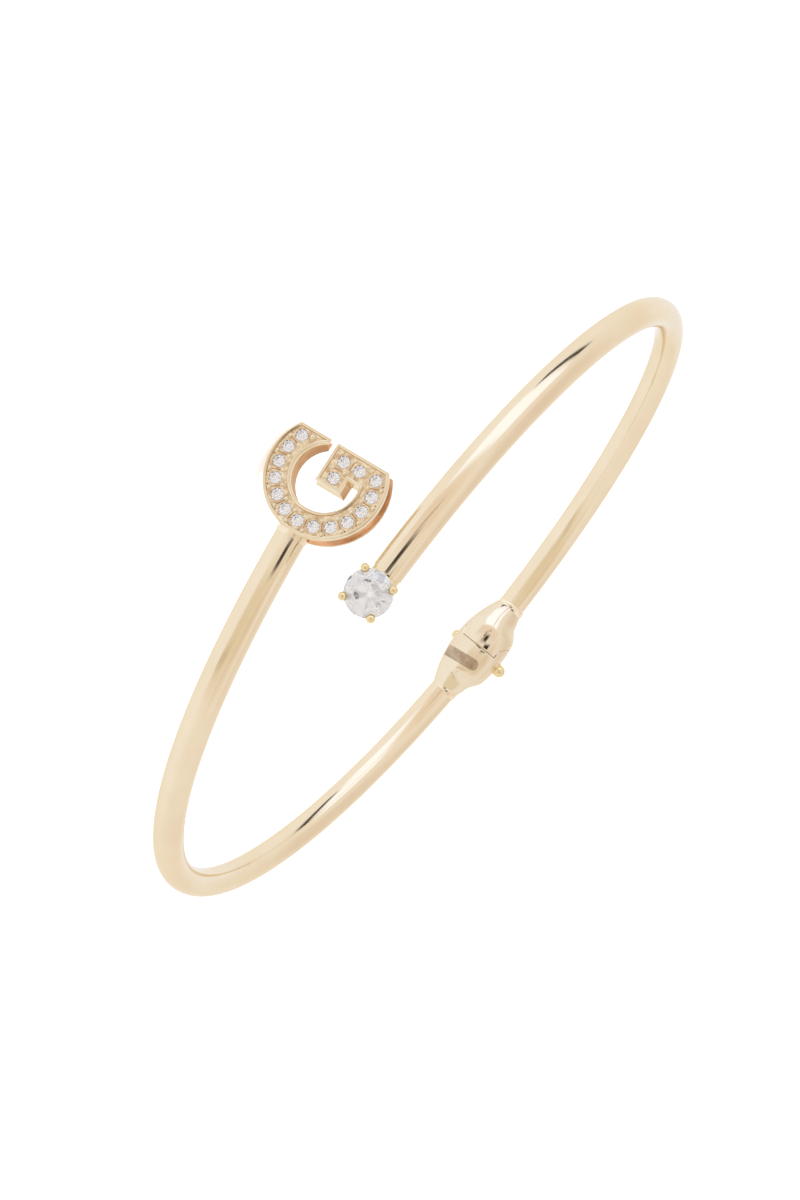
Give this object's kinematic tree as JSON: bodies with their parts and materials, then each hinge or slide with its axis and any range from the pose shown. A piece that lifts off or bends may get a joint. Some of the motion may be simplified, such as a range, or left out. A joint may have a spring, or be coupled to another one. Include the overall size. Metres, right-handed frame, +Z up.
{
  "type": "initial bangle",
  "caption": "Hinged gold bypass bangle lying on its side: one tube arm ends in a pave set capital initial, the other in a round stone in claws.",
  "frame": {"origin": "centre of the bounding box on the surface that the bangle lies on", "axes": "+Z up from that surface, about 11 degrees off the hinge pin; +Y towards the hinge, -Y towards the initial and the stone; +X towards the arm that carries the initial"},
  "size_m": [0.0622, 0.0546, 0.0145],
  "materials": {
    "gold_tube": "high polish",
    "gold_hinge": "high polish",
    "gold_setting": "high polish with a matt groove",
    "small_stones": "faceted",
    "solitaire": "faceted"
  },
  "bodies": {
    "initial_half": {"initial_arm": "gold_tube", "hinge_fork": "gold_hinge", "hinge_pin": "gold_hinge", "initial": "gold_setting", "initial_stone_01": "small_stones", "initial_stone_02": "small_stones", "initial_stone_03": "small_stones", "initial_stone_04": "small_stones", "initial_stone_05": "small_stones", "initial_stone_06": "small_stones", "initial_stone_07": "small_stones", "initial_stone_08": "small_stones", "initial_stone_09": "small_stones", "initial_stone_10": "small_stones", "initial_stone_11": "small_stones", "initial_stone_12": "small_stones", "initial_stone_13": "small_stones", "initial_stone_14": "small_stones", "initial_stone_15": "small_stones", "initial_stone_16": "small_stones"},
    "stone_half": {"stone_arm": "gold_tube", "hinge_tongue": "gold_hinge", "solitaire_setting": "gold_setting", "solitaire": "solitaire"}
  },
  "joints": [
    {"name": "barrel_hinge", "type": "hinge", "parent": "initial_half", "child": "stone_half", "pos_m": [-0.00016, 0.02485, 0.003], "axis": [-0.1077, -0.1656, -0.9803], "range_deg": [0, 35], "stiffness_Nm_per_rad": 0.01, "springref_deg": -11.46}
  ]
}
